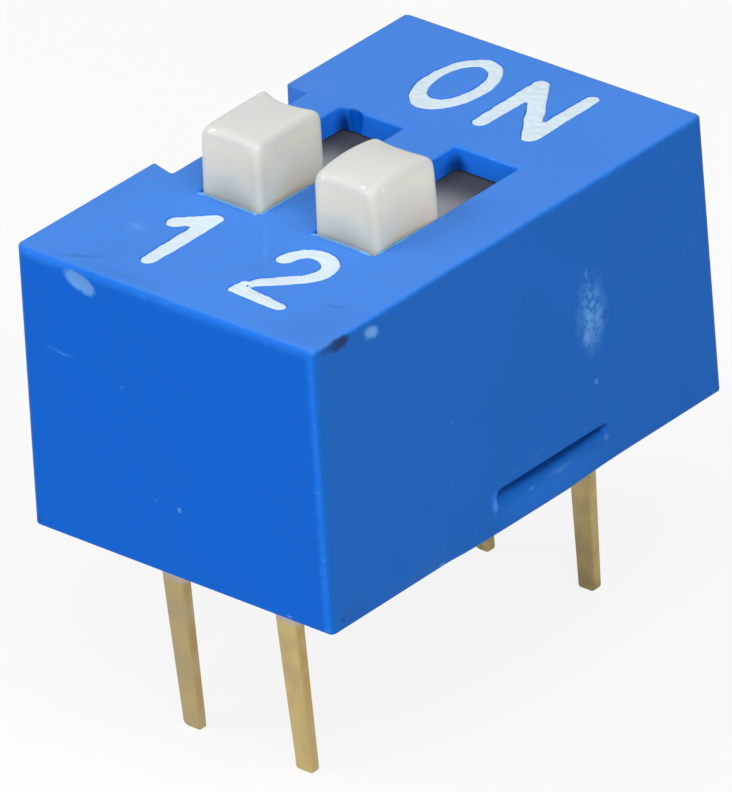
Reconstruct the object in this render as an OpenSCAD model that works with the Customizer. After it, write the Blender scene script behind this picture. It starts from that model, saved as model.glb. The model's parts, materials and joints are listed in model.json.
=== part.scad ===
// Two-position slide dip switch: a moulded cover over a moulded base, two sliders with a bridging
// leaf contact each, four gold-plated terminals, and potting resin round the pins.
// Units are millimetres. Z is up and Z = 0 is the plane that the cover's rim rests on.
// X runs across the two positions (position 1 at -X). Y runs along the slides: numbers at -Y, ON at +Y.

/* [Pin grid] */
// Distance between the two positions
pitch = 2.54; // [2.50:0.01:2.58]
// Distance between the two rows of pins
row_span = 7.62; // [7.50:0.01:7.74]
// How far the pins sit towards position 1 from the middle of the cover
pin_shift = 0.11; // [0:0.01:0.14]

/* [Cover] */
// Width across the positions, at the rim
cover_w = 6.70; // [6.50:0.01:6.80]
// Length along the slides, at the rim
cover_l = 10.18; // [9.90:0.01:10.40]
// Height of the cover
cover_h = 5.35; // [5.20:0.01:5.60]
// How far each long side leans in by the top, as mould draft
side_draft = 0.036; // [0.01:0.001:0.06]
// How far each end leans in by the top, as mould draft
end_draft = 0.072; // [0.01:0.001:0.10]
// Thickness of the top over the sliders
top_wall = 0.43; // [0.40:0.01:0.50]
// Thickness of the long walls beside the base
side_wall = 0.50; // [0.45:0.01:0.55]
// Thickness of the end walls beside the base
end_wall = 0.54; // [0.50:0.01:0.60]
// Width of the rib between the two slider channels
rib_w = 0.44; // [0.40:0.01:0.46]

/* [Slots] */
// Width of a slot
slot_w = 1.40; // [1.36:0.01:1.44]
// Length of a slot
slot_l = 3.70; // [3.60:0.01:3.74]
// How far the middle of the slots sits towards the numbers
slot_shift = 0.07; // [0:0.01:0.10]

/* [Index notch] */
// Length of the notch in the top edge beside position 1
notch_l = 3.48; // [3.00:0.01:3.80]
// How far the notch goes in from the side at the rim
notch_in = 0.58; // [0.40:0.01:0.60]
// Depth of the notch below the top
notch_depth = 1.10; // [0.60:0.01:1.60]
// Place of the middle of the notch, towards ON
notch_y = 0.09; // [0:0.01:0.20]

/* [Staking grooves] */
// Length of the groove pressed into each long side
groove_l = 2.90; // [2.40:0.01:3.20]
// Place of the middle of the groove, towards ON
groove_y = 0.62; // [0.50:0.01:0.80]
// Height of the lower lip of the groove
groove_low = 0.48; // [0.40:0.01:0.50]
// Height of the upper lip of the groove
groove_high = 0.81; // [0.70:0.01:0.85]
// Depth of the groove
groove_depth = 0.16; // [0.10:0.01:0.20]

/* [Legends] */
// Depth that the legends are sunk into the top
legend_depth = 0.09; // [0.06:0.01:0.12]
// Thickness of the white ink in the sunk legends
ink_t = 0.05; // [0.03:0.01:0.05]
// Width of the strokes
stroke_w = 0.27; // [0.22:0.01:0.28]

/* [Sliders] */
// Height of a knob above the top
knob_rise = 1.27; // [1.00:0.01:1.30]
// Width of a knob at its foot
knob_w = 1.36; // [1.30:0.01:1.36]
// Length of a knob at its foot
knob_l = 1.72; // [1.60:0.01:1.80]
// How much narrower each side of the knob is at the top
knob_lean = 0.04; // [0:0.01:0.06]
// How far the middle of each knob side is hollowed
knob_hollow = 0.10; // [0.02:0.01:0.12]
// Radius of the knob's upright corners
knob_corner = 0.16; // [0.10:0.01:0.20]
// Radius of the knob's top edges
knob_round = 0.16; // [0.10:0.01:0.20]
// Gap between the knob and the end of the slot where it stops
stop_gap = 0.03; // [0.02:0.01:0.05]
// Gap all round a slider in its channel
slide_gap = 0.03; // [0.02:0.01:0.04]
// Thickness of the flange under the top
flange_t = 0.46; // [0.40:0.01:0.50]
// How far the flange reaches past the knob at each end
flange_reach = 2.08; // [2.06:0.01:2.10]

/* [Terminals and contacts] */
// Thickness of the terminal strip
strip_t = 0.16; // [0.14:0.01:0.18]
// Width of the strip inside the base
strip_w = 1.10; // [0.90:0.01:1.20]
// Width of a pin at the rim
pin_w = 0.54; // [0.50:0.01:0.56]
// Width of a pin at its tip
pin_tip_w = 0.39; // [0.36:0.01:0.44]
// Length of a pin below the rim
pin_l = 4.01; // [3.40:0.01:4.20]
// Thickness of the bridging leaf
leaf_t = 0.10; // [0.08:0.01:0.12]
// Width of the bridging leaf
leaf_w = 1.00; // [0.80:0.01:1.10]

/* [Hidden] */
$fn = 32;
eps = 0.01;

blue = [0.16, 0.45, 0.87];
off_white = [0.87, 0.86, 0.82];
gold = [0.78, 0.66, 0.40];
resin = [0.20, 0.21, 0.24];
ink = [0.95, 0.97, 0.98];

// Heights of the stack, from the rim up
seal_low = 0.10;
seal_high = 0.55;
floor_z = 2.45;
ceiling_z = cover_h - top_wall;
flange_z = ceiling_z - slide_gap;
carrier_low = 2.75;
pocket_top = 3.95;

// Channels that the sliders run in
position_x = [-pitch / 2, pitch / 2];
channel_w = pitch - rib_w;
flange_w = channel_w - 2 * slide_gap;
off_y = -slot_shift - slot_l / 2 + stop_gap + knob_l / 2;
travel = slot_l - knob_l - 2 * stop_gap;
channel_end_gap = 0.08;
flange_l = knob_l + 2 * flange_reach;
channel_low = off_y - flange_l / 2 - channel_end_gap;
channel_high = off_y + travel + flange_l / 2 + channel_end_gap;

// Parts of the carrier under the flange
carrier_l = 3.50;
pocket_l = 2.84;
pocket_w = leaf_w + 0.20;
peg_r = 0.18;
peg_clear = 0.02;
peg_drop = 0.20;

// Terminal strip inside the base
bend_in = 0.12;
bend_out = bend_in + strip_t;
shoulder_z = 1.30;
shoulder_drop = 0.30;
pad_gap_low = -0.10;
pad_gap_high = 0.35;
tip_round = 0.10;

// Bridging leaf
leaf_flat = 0.80;
contact_reach = 1.15;
contact_nose = 0.13;
contact_lift = 0.02;

// How far each pin's tip leans [X, Y] below the rim, from handling
lean_number = [0, 0.22];
lean_on_1 = [0.15, 0];
lean_on_2 = [0, 0];

// ---------------------------------------------------------------- cover

// A block whose four sides lean in towards the top
module drafted_block(w, l, h, lean_x, lean_y) {
    difference() {
        translate([-w / 2, -l / 2, 0]) cube([w, l, h]);
        for (side = [-1, 1]) {
            translate([side * w / 2, 0, 0])
                rotate([0, -side * atan(lean_x / h), 0])
                    translate([(side - 1) / 2 * w, -l, -h]) cube([w, 2 * l, 3 * h]);
            translate([0, side * l / 2, 0])
                rotate([side * atan(lean_y / h), 0, 0])
                    translate([-w, (side - 1) / 2 * l, -h]) cube([2 * w, l, 3 * h]);
        }
    }
}

module slots() {
    for (x = position_x)
        translate([x - slot_w / 2, -slot_shift - slot_l / 2, floor_z])
            cube([slot_w, slot_l, cover_h]);
}

module channels() {
    for (x = position_x)
        translate([x - channel_w / 2, channel_low, floor_z - eps])
            cube([channel_w, channel_high - channel_low, ceiling_z - floor_z + eps]);
}

module base_pocket() {
    inner_w = cover_w - 2 * side_wall;
    inner_l = cover_l - 2 * end_wall;
    translate([-inner_w / 2, -inner_l / 2, -eps]) cube([inner_w, inner_l, floor_z + eps]);
}

module index_notch() {
    translate([-cover_w, notch_y - notch_l / 2, cover_h - notch_depth])
        cube([cover_w / 2 + notch_in, notch_l, cover_h]);
}

// The groove has a steep upper wall and a long lower slope, as a pressed mark has
module staking_groove(side) {
    groove_root = groove_high - 0.07;
    mouth = 0.02;
    profile = [
        [mouth, groove_high + mouth / 2], [-groove_depth, groove_root], [mouth, groove_low - mouth]
    ];
    translate([side * cover_w / 2, groove_y, 0])
        mirror([side < 0 ? 1 : 0, 0, 0])
            translate([0, groove_l / 2, 0])
                rotate([90, 0, 0])
                    linear_extrude(groove_l) polygon(profile);
}

module cover() {
    color(blue) difference() {
        drafted_block(cover_w, cover_l, cover_h, side_draft, end_draft);
        base_pocket();
        channels();
        slots();
        index_notch();
        for (side = [-1, 1]) staking_groove(side);
        translate([0, 0, cover_h - legend_depth])
            linear_extrude(legend_depth + eps) { outline_on(); outline_1(); outline_2(); }
    }
}

// ---------------------------------------------------------------- legends

// A straight pen stroke with round ends
module stroke(start, end, w = stroke_w) {
    run = end - start;
    translate(start) rotate(atan2(run[1], run[0])) {
        translate([0, -w / 2]) square([norm(run), w]);
        circle(d = w);
        translate([norm(run), 0]) circle(d = w);
    }
}

function oval(half_w, half_h) =
    [for (a = [0:7.5:352.5]) [half_w * cos(a), half_h * sin(a)]];

module outline_on() {
    o_centre = [-0.87, 3.51];
    o_half = [0.65, 0.98];
    translate(o_centre) difference() {
        polygon(oval(o_half[0], o_half[1]));
        polygon(oval(o_half[0] - stroke_w, o_half[1] - stroke_w * 1.1));
    }
    n_left = 0.32;
    n_right = 1.41;
    n_low = 2.71;
    n_high = 4.34;
    stroke([n_left, n_low], [n_left, n_high]);
    stroke([n_left, n_high], [n_right, n_low]);
    stroke([n_right, n_low], [n_right, n_high]);
}

module outline_1() {
    top = [-1.13, -2.37];
    stroke([-1.14, -4.12], top);
    stroke([-1.65, -2.92], top, stroke_w * 0.9);
}

// The bow of the 2 is part of a ring, and runs on smoothly into the diagonal
module outline_2() {
    bow = [1.21, -2.84];
    bow_r = 0.44;
    bow_start = 165;
    bow_end = -42;
    low = -4.13;
    bow_tip = bow + bow_r * [cos(bow_end), sin(bow_end)];
    translate(bow) {
        intersection() {
            difference() {
                circle(r = bow_r + stroke_w / 2);
                circle(r = bow_r - stroke_w / 2);
            }
            polygon([
                [0, 0], 2 * [cos(bow_end), sin(bow_end)], [2, 2], [-2, 2],
                2 * [cos(bow_start), sin(bow_start)]
            ]);
        }
        translate(bow_r * [cos(bow_start), sin(bow_start)]) circle(d = stroke_w);
    }
    stroke([0.76, low + 0.10], bow_tip);
    stroke([0.72, low], [1.73, low]);
}

module ink_fill() {
    color(ink)
        translate([0, 0, cover_h - legend_depth]) linear_extrude(ink_t) children();
}

module legend_on() { ink_fill() outline_on(); }
module legend_1() { ink_fill() outline_1(); }
module legend_2() { ink_fill() outline_2(); }

// ---------------------------------------------------------------- base and resin

module base() {
    base_w = cover_w - 2 * side_wall;
    base_l = cover_l - 2 * end_wall;
    color(blue * 0.6) difference() {
        translate([-base_w / 2, -base_l / 2, seal_high])
            cube([base_w, base_l, floor_z - seal_high]);
        all_terminals();
    }
}

module seal() {
    seal_w = cover_w - 2 * side_wall;
    seal_l = cover_l - 2 * end_wall;
    color(resin) difference() {
        translate([-seal_w / 2, -seal_l / 2, seal_low])
            cube([seal_w, seal_l, seal_high - seal_low]);
        all_terminals();
    }
}

// ---------------------------------------------------------------- terminals

function corner_arc(centre, r, from, to) =
    [for (i = [0:5]) centre + r * [cos(from + (to - from) * i / 5), sin(from + (to - from) * i / 5)]];

// Outline of the pin below the rim: a tapered blade with rounded tip corners, its tip moved sideways by shift
function pin_outline(shift) = let(half = pin_tip_w / 2 - tip_round, low = -pin_l + tip_round)
    concat(
        [[-pin_w / 2, 0]],
        corner_arc([shift - half, low], tip_round, 180, 270),
        corner_arc([shift + half, low], tip_round, 270, 360),
        [[pin_w / 2, 0]]
    );

// A terminal with its pin at the origin and its pad running towards +Y for pad_end
module terminal_strip(pad_end, lean) {
    // pad and the bend down from it
    translate([-strip_w / 2, bend_out - strip_t / 2, floor_z - strip_t])
        cube([strip_w, pad_end - bend_out + strip_t / 2, strip_t]);
    translate([-strip_w / 2, bend_out - strip_t / 2, floor_z - bend_out])
        rotate([90, 0, 90])
            rotate_extrude(angle = 90, start = 90)
                translate([bend_in, 0]) square([strip_t, strip_w]);
    // leg inside the base, with a shoulder down to the pin's width
    leg_high = floor_z - bend_out;
    translate([0, strip_t / 2, 0]) rotate([90, 0, 0]) linear_extrude(strip_t)
        polygon([
            [-pin_w / 2, 0], [-pin_w / 2, shoulder_z - shoulder_drop], [-strip_w / 2, shoulder_z],
            [-strip_w / 2, leg_high], [strip_w / 2, leg_high], [strip_w / 2, shoulder_z],
            [pin_w / 2, shoulder_z - shoulder_drop], [pin_w / 2, 0]
        ]);
    // pin below the rim, with the outside of its slight bend rounded
    if (lean[1] != 0)
        translate([-pin_w / 2, 0, 0]) rotate([0, 90, 0]) cylinder(h = pin_w, d = strip_t);
    rotate([atan(lean[1] / pin_l), 0, 0])
        translate([0, strip_t / 2, 0]) rotate([90, 0, 0])
            linear_extrude(strip_t) polygon(pin_outline(lean[0]));
}

module place_number(position, lean) {
    pin_y = -row_span / 2;
    translate([position_x[position - 1] - pin_shift, pin_y, 0])
        terminal_strip(pad_gap_low - pin_y, lean);
}

module place_on(position, lean) {
    pin_y = row_span / 2;
    translate([position_x[position - 1] - pin_shift, pin_y, 0])
        mirror([0, 1, 0]) terminal_strip(pin_y - pad_gap_high, lean);
}

module terminal_1_number() { color(gold) place_number(1, lean_number); }
module terminal_2_number() { color(gold) place_number(2, lean_number); }
module terminal_1_on() { color(gold) place_on(1, lean_on_1); }
module terminal_2_on() { color(gold) place_on(2, lean_on_2); }

module all_terminals() {
    place_number(1, lean_number);
    place_number(2, lean_number);
    place_on(1, lean_on_1);
    place_on(2, lean_on_2);
}

// ---------------------------------------------------------------- sliders

corner_steps = 4;
side_steps = 6;

// One side of the knob's outline seen from above, from corner to corner, hollowed in the middle
function knob_side(half_run, half_off, corner, hollow) =
    [for (i = [1:side_steps - 1])
        let(s = 2 * i / side_steps - 1)
            [half_run * s - corner * s, -half_off + hollow * (1 - s * s)]];

function knob_corner_points(half_run, half_off, corner) =
    [for (i = [0:corner_steps])
        let(a = -90 + 90 * i / corner_steps)
            [half_run - corner + corner * cos(a), -half_off + corner + corner * sin(a)]];

function turn(points, a) =
    [for (p = points) [p[0] * cos(a) - p[1] * sin(a), p[0] * sin(a) + p[1] * cos(a)]];

// The whole outline at one height: four hollow sides and four round corners
function knob_ring(half_w, half_l, corner, hollow) = concat(
    knob_side(half_w, half_l, corner, hollow),
    knob_corner_points(half_w, half_l, corner),
    turn(knob_side(half_l, half_w, corner, hollow), 90),
    turn(knob_corner_points(half_l, half_w, corner), 90),
    turn(knob_side(half_w, half_l, corner, hollow), 180),
    turn(knob_corner_points(half_w, half_l, corner), 180),
    turn(knob_side(half_l, half_w, corner, hollow), 270),
    turn(knob_corner_points(half_l, half_w, corner), 270)
);

// Heights and insets of the rings: straight sides, then a quarter round at the top edge
knob_top = cover_h + knob_rise;
round_steps = 5;
knob_levels = concat(
    [[flange_z - eps, 0], [cover_h, 0]],
    [for (i = [0:round_steps])
        let(a = 90 * i / round_steps)
            [knob_top - knob_round + knob_round * sin(a), knob_lean + knob_round * (1 - cos(a))]]
);

module knob() {
    rings = [for (level = knob_levels)
        [for (p = knob_ring(knob_w / 2 - level[1], knob_l / 2 - level[1], knob_corner, knob_hollow))
            [p[0], p[1], level[0]]]];
    count = len(rings[0]);
    last = len(rings) - 1;
    skin = [for (k = [0:last - 1], i = [0:count - 1])
        let(a = k * count + i, b = k * count + (i + 1) % count)
            each [[a, a + count, b], [b, a + count, b + count]]];
    foot = [for (i = [0:count - 1]) i];
    crown = [for (i = [count - 1:-1:0]) last * count + i];
    polyhedron([for (ring = rings) each ring], concat(skin, [foot], [crown]));
}

module slider(position) {
    translate([position_x[position - 1], off_y, 0]) {
        knob();
        difference() {
            union() {
                translate([-flange_w / 2, -flange_l / 2, flange_z - flange_t])
                    cube([flange_w, flange_l, flange_t]);
                translate([-flange_w / 2, -carrier_l / 2, carrier_low])
                    cube([flange_w, carrier_l, flange_z - flange_t / 2 - carrier_low]);
            }
            translate([-pocket_w / 2, -pocket_l / 2, carrier_low - eps])
                cube([pocket_w, pocket_l, pocket_top - carrier_low + eps]);
        }
        translate([0, 0, pocket_top - peg_drop]) cylinder(h = peg_drop + eps, r = peg_r);
    }
}

module slider_1() { color(off_white) slider(1); }
module slider_2() { color(off_white) slider(2); }

// ---------------------------------------------------------------- bridging contacts

// Side view of the leaf: a flat middle, two arms sloping down and a round nose at each end
module leaf_profile() {
    middle_y = pocket_top - leaf_t / 2;
    nose = [contact_reach, floor_z + contact_lift + contact_nose];
    translate([-leaf_flat / 2, middle_y - leaf_t / 2]) square([leaf_flat, leaf_t]);
    for (side = [0, 1]) mirror([side, 0])
        difference() {
            union() {
                translate([leaf_flat / 2, middle_y]) circle(d = leaf_t);
                stroke([leaf_flat / 2, middle_y], nose, leaf_t);
                translate(nose) circle(r = contact_nose);
            }
            translate(nose) circle(r = contact_nose - leaf_t);
        }
}

module contact(position) {
    translate([position_x[position - 1], off_y, 0]) difference() {
        translate([-leaf_w / 2, 0, 0]) rotate([90, 0, 90]) linear_extrude(leaf_w) leaf_profile();
        translate([0, 0, pocket_top - leaf_t - eps])
            cylinder(h = leaf_t + 2 * eps, r = peg_r + peg_clear);
    }
}

module contact_1() { color(gold) contact(1); }
module contact_2() { color(gold) contact(2); }

// ---------------------------------------------------------------- nodes

cover();
base();
seal();
terminal_1_number();
terminal_1_on();
terminal_2_number();
terminal_2_on();
slider_1();
slider_2();
contact_1();
contact_2();
legend_on();
legend_1();
legend_2();
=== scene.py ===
import json
import math

import bmesh
import bpy
from mathutils import Euler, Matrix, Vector


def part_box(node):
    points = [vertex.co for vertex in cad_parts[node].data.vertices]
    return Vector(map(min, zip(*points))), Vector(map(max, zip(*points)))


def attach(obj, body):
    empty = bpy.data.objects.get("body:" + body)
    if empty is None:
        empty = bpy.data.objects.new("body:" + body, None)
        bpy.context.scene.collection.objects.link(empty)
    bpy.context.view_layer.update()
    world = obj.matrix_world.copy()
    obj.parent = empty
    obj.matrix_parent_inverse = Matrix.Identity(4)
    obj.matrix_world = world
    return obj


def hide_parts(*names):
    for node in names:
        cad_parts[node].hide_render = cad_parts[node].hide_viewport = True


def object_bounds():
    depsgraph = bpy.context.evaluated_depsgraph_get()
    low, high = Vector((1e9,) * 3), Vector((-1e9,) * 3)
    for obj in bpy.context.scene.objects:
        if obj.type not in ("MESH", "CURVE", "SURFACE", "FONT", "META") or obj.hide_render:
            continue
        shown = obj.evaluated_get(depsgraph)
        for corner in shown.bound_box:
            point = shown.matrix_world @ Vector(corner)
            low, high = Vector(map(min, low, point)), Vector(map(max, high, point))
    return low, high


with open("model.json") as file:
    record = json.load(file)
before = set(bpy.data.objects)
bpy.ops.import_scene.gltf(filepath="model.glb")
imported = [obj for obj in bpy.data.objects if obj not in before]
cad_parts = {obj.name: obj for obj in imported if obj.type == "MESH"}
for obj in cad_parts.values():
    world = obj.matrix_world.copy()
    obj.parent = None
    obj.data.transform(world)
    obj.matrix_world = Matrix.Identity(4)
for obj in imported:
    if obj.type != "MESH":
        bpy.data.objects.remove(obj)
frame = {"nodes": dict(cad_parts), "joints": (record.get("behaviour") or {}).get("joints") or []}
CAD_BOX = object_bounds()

bl_info = {
    "name": "Dip switch",
    "version": (1, 0, 0),
    "blender": (4, 5, 0),
    "location": "3D View > Sidebar > Dip switch",
    "description": "A two-position slide dip switch, modelled round its packed frame",
    "category": "Mesh",
}

MM = 0.001  # pieces are modelled in millimetres, and settled into metres when they are done
CLEAR = 0.30  # how far a cutter runs past the face that it opens
INNER_ROUND = 0.06  # radius of the upright corners inside the slots and the notch
GRAIN = 0.022  # how finely the legends are melted together
TOUCH = 1e-4  # how near two places are that count as one


# ------------------------------------------------------------------ sizes and colours


def length(name, description, millimetres):
    """A property for a length."""
    return bpy.props.FloatProperty(
        name=name, description=description, default=millimetres * MM, precision=6, unit="LENGTH"
    )


def angle(name, description, degrees):
    """A property for an angle."""
    return bpy.props.FloatProperty(
        name=name, description=description, default=math.radians(degrees), subtype="ANGLE"
    )


def colour(name, description, value):
    """A property for a colour, in linear light."""
    return bpy.props.FloatVectorProperty(
        name=name, description=description, default=value, min=0, max=1, size=3, subtype="COLOR"
    )


def power(name, description, watts):
    """A property for the power of a lamp."""
    return bpy.props.FloatProperty(
        name=name, description=description, default=watts, min=0, subtype="POWER"
    )


class DipSwitchSizes(bpy.types.PropertyGroup):
    """Lengths that shape the pieces and that the frame's boxes don't give."""

    pitch: length("Pitch", "Distance between the two positions", 2.54)
    row_span: length("Row span", "Distance between the two rows of pins", 7.62)
    side_draft: length("Side draft", "How far each long side leans in by the top", 0.036)
    end_draft: length("End draft", "How far each end leans in by the top", 0.072)
    corner_lean: length("Corner lean", "How far in the top leans at its corner beside the O", 0.045)
    upright_round: length("Upright round", "Radius of the cover's upright edges", 0.17)
    edge_round: length("Edge round", "Radius of the cover's top edges", 0.09)
    foot_round: length("Foot round", "Radius of the cover's bottom edges", 0.07)
    rim_round: length("Rim round", "Radius of the rims of the slots and the notch", 0.035)
    top_wall: length("Top wall", "Thickness of the top over the sliders", 0.43)
    slot_width: length("Slot width", "Width of a slot", 1.40)
    slot_length: length("Slot length", "Length of a slot", 3.70)
    slot_shift: length("Slot shift", "How far the slots sit towards the numbers", 0.07)
    notch_inward: length("Notch inward", "How far the index notch goes in from the side", 0.58)
    notch_length: length("Notch length", "Length of the index notch", 3.48)
    notch_shift: length("Notch shift", "Place of the notch's middle, towards ON", 0.09)
    notch_slant: length("Notch slant", "How far the notch's end towards the numbers slants", 0.15)
    notch_depth: length("Notch depth", "Depth of the index notch", 1.10)
    groove_depth: length("Groove depth", "Depth of the pressed grooves", 0.16)
    legend_depth: length("Legend depth", "How deep the legends are sunk", 0.09)
    ink_drop: length("Ink drop", "How far the ink lies below the top", 0.010)
    knob_width: length("Knob width", "Width of a knob at its foot", 1.36)
    knob_length: length("Knob length", "Length of a knob at its foot", 1.72)
    knob_corner: length("Knob corner", "Radius of a knob's upright edges", 0.27)
    knob_crown: length("Knob crown", "Radius of a knob's top edges", 0.36)
    flange: length("Flange", "Thickness of a slider's flange", 0.46)
    strip: length("Strip", "Thickness of the terminal strip", 0.16)
    pin_width: length("Pin width", "Width of a pin at the rim", 0.54)
    tip_width: length("Tip width", "Width of a pin at its tip", 0.39)


class DipSwitchColours(bpy.types.PropertyGroup):
    """Colours of the finishes, of what has marked them, and of light and shade painted on them."""

    cover: colour("Cover", "Blue moulded plastic", (0.000, 0.121, 0.626))
    # Painted shade: the long sides take a darker, duller blue for the shade that falls on them.
    cover_side_shaded: colour("Cover sides", "The same blue on the long sides, duller", (0.009, 0.122, 0.490))
    # Painted sheen: the paler blue of the top stands for the sheen of the light above, and it also lightens
    # the notch's walls.
    cover_top: colour("Cover top", "The same blue where handling has whitened it", (0.063, 0.246, 0.790))
    # Painted highlight: this lighter blue lies along edges and rims where light catches them.
    cover_edge_highlight: colour("Cover edges", "The same blue where the edges are polished", (0.025, 0.230, 0.880))
    # Painted light: a lighter blue inside the slots, for light that reaches their walls.
    cover_slot_lit: colour("Cover in the slots", "The same blue, inside the slots", (0.016, 0.210, 0.920))
    scuff: colour("Scuff", "Blue plastic whitened by a rub", (0.20, 0.50, 0.90))
    chip: colour("Chip", "Blue plastic where a knock has broken its skin", (0.135, 0.340, 0.730))
    # Painted shade and reflected light: besides the burr, the lips' teal stands for the knobs' shaded feet,
    # lit blue by the cover.
    lip: colour("Lip", "Thin burr at the foot of the knobs", (0.130, 0.340, 0.600))
    # Painted highlight: the brighter teal at the ends of the lips.
    lip_highlight: colour("Bright lip", "The burr where it is thickest", (0.200, 0.500, 0.930))
    # Dark dirt in specks and nicks, and painted shade over the chip in the right top edge near the numbers.
    grime_and_shade: colour("Grime", "Dark dirt in nicks", (0.016, 0.036, 0.120))
    # Painted shade: near-black blue laid in the slots' far corners and along the groove, where shade falls.
    painted_shade: colour("Deep blue", "Blue plastic in corners where dirt has settled", (0.000, 0.020, 0.140))
    base: colour("Base", "Plastic of the inner base", (0.010, 0.080, 0.380))
    slider: colour("Slider", "Off-white plastic on top of the knobs", (0.685, 0.690, 0.660))
    # Painted light: the knob's sides are lighter and yellower than its top, for light the plastic carries
    # round to them.
    slider_side_lit: colour("Slider sides", "The same plastic on the sides, yellower", (0.875, 0.830, 0.660))
    # Painted shade and reflected light: the knob's front foot, darker and bluish from the blue cover beside
    # it.
    slider_foot_shade: colour("Slider foot", "The same plastic near the cover, bluish", (0.62, 0.65, 0.60))
    # Painted highlight: near-white specks along the crown of a knob, standing for glints.
    glinting: colour("Slider rubbed", "Specks rubbed bright along the crown of a knob", (0.93, 0.95, 0.95))
    # Painted shade: the lower right side of a knob, warm and brownish as light through the plastic leaves
    # it in shade.
    slider_warm_shade: colour("Slider rear", "The same plastic, soiled by fingers", (0.90, 0.76, 0.54))
    # Painted shade: the sliders are darker grey under the cover, in the slots.
    slider_slot_shade: colour("Slider in the slot", "The same plastic, soiled under the cover", (0.36, 0.37, 0.38))
    # Painted shade: nearly black further into the slot.
    slider_shade: colour("Slider far in", "The same plastic, greasy", (0.060, 0.060, 0.070))
    ink: colour("Ink", "White legend ink", (0.70, 0.83, 0.92))
    gold: colour("Gold", "Thin gold plating", (0.60, 0.46, 0.195))
    gold_worn: colour("Worn gold", "Gold plating that has dulled", (0.48, 0.37, 0.175))
    gold_pale: colour("Pale gold", "Gold plating with a grey bloom", (0.42, 0.34, 0.185))
    # Painted shade and dark reflection on the ON pins, deepest at their tips.
    olive: colour("Olive", "Plating tarnished to olive", (0.21, 0.165, 0.075))
    brass: colour("Brass", "Metal where the plating is thin", (0.36, 0.22, 0.075))
    # A grey band on the number pins, just under the body.
    grey_band: colour("Flux", "Grey film left near the body", (0.46, 0.42, 0.44))
    resin: colour("Resin", "Potting resin", (0.035, 0.038, 0.045))
    floor: colour("Floor", "Pale table", (0.93, 0.93, 0.93))


class DipSwitchView(bpy.types.PropertyGroup):
    """Where the camera stands, and how bright the room is."""

    azimuth: angle("Azimuth", "Turn of the camera round the switch", 42.79)
    elevation: angle("Elevation", "Height of the camera above the horizon", 29.10)
    roll: angle("Roll", "Tilt of the picture", -4.08)
    distance: length("Distance", "From the camera to the point it looks at", 244.07)
    lens: bpy.props.FloatProperty(
        name="Lens", description="Focal length of the camera in millimetres", default=658.4, min=1
    )
    sky: bpy.props.FloatProperty(
        name="Sky", description="Strength of the even light from all round", default=0.15, min=0
    )
    key: power("Key", "Power of the large soft lamp at the left", 0.062)
    fill: power("Fill", "Power of the large soft lamp high at the right", 0.080)
    face: power("Face", "Power of the soft lamp behind the camera", 0.058)
    glint: power("Glint", "Power of the small lamp", 0.004)
    whiteness: bpy.props.FloatProperty(
        name="Whiteness", description="How much of the table is seen as plain white",
        default=0.85, min=0, max=1,
    )


def sizes():
    """Every length of the sizes group, in millimetres."""
    group = bpy.context.scene.dip_switch_sizes
    return {key: getattr(group, key) / MM for key in DipSwitchSizes.__annotations__}


def colours():
    """Every colour of the colours group, with alpha."""
    group = bpy.context.scene.dip_switch_colours
    return {key: (*getattr(group, key), 1) for key in DipSwitchColours.__annotations__}


# ------------------------------------------------------------------ modelling helpers


def corners(node):
    """Lowest and highest corner of a CAD node, in millimetres."""
    low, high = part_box(node)
    return Vector(low) / MM, Vector(high) / MM


def only(piece):
    """Makes a piece the only one selected, in object mode."""
    if bpy.context.object and bpy.context.object.mode != "OBJECT":
        bpy.ops.object.mode_set(mode="OBJECT")
    bpy.ops.object.select_all(action="DESELECT")
    if piece:
        piece.select_set(True)
        bpy.context.view_layer.objects.active = piece


def start(primitive, name, **settings):
    """Adds a mesh primitive with its place applied, so that its points say where it is."""
    only(None)
    primitive(**settings)
    piece = bpy.context.object
    piece.name = piece.data.name = name
    bpy.ops.object.transform_apply(location=True, rotation=True, scale=True)
    return piece


def block(name, low, high):
    """A box between two corners."""
    low, high = Vector(low), Vector(high)
    return start(
        bpy.ops.mesh.primitive_cube_add, name, size=1, location=(low + high) / 2, scale=high - low
    )


def pick(piece, kind, test):
    """Edit mode on the piece, with only the points, edges or faces that pass the test selected."""
    only(piece)
    bpy.ops.object.mode_set(mode="EDIT")
    bpy.ops.mesh.select_mode(type=kind)
    bpy.ops.mesh.select_all(action="DESELECT")
    mesh = bmesh.from_edit_mesh(piece.data)
    mesh.normal_update()
    for part in {"VERT": mesh.verts, "EDGE": mesh.edges, "FACE": mesh.faces}[kind]:
        if test(part):
            part.select_set(True)
    mesh.select_flush_mode()
    bmesh.update_edit_mesh(piece.data)


def pick_points(piece, test):
    """Selects the points whose place passes the test."""
    pick(piece, "VERT", lambda point: test(point.co))


def pick_edges(piece, test, sharper_than=0):
    """Selects the edges whose two ends pass the test, if the faces there meet at more than an angle."""
    least = math.radians(sharper_than)
    pick(piece, "EDGE", lambda edge: edge.calc_face_angle(0) >= least and test(*[v.co for v in edge.verts]))


def pick_faces(piece, test):
    """Selects the faces whose middle and normal pass the test."""
    pick(piece, "FACE", lambda face: test(face.calc_center_median(), face.normal))


def leave_edit():
    """Back to object mode."""
    bpy.ops.object.mode_set(mode="OBJECT")


def along(a, b, axis):
    """True if the line from a to b runs along an axis."""
    return abs((b - a)[axis]) > 0.99 * (b - a).length


def round_edges(piece, radius, segments, test, sharper_than=0):
    """Rounds the edges that pass the test."""
    pick_edges(piece, test, sharper_than)
    bpy.ops.mesh.bevel(offset=radius, segments=segments, profile=0.5, affect="EDGES")
    leave_edit()


def shove(piece, step, test):
    """Moves the points that pass the test."""
    pick_points(piece, test)
    bpy.ops.transform.translate(value=step)
    leave_edit()


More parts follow.
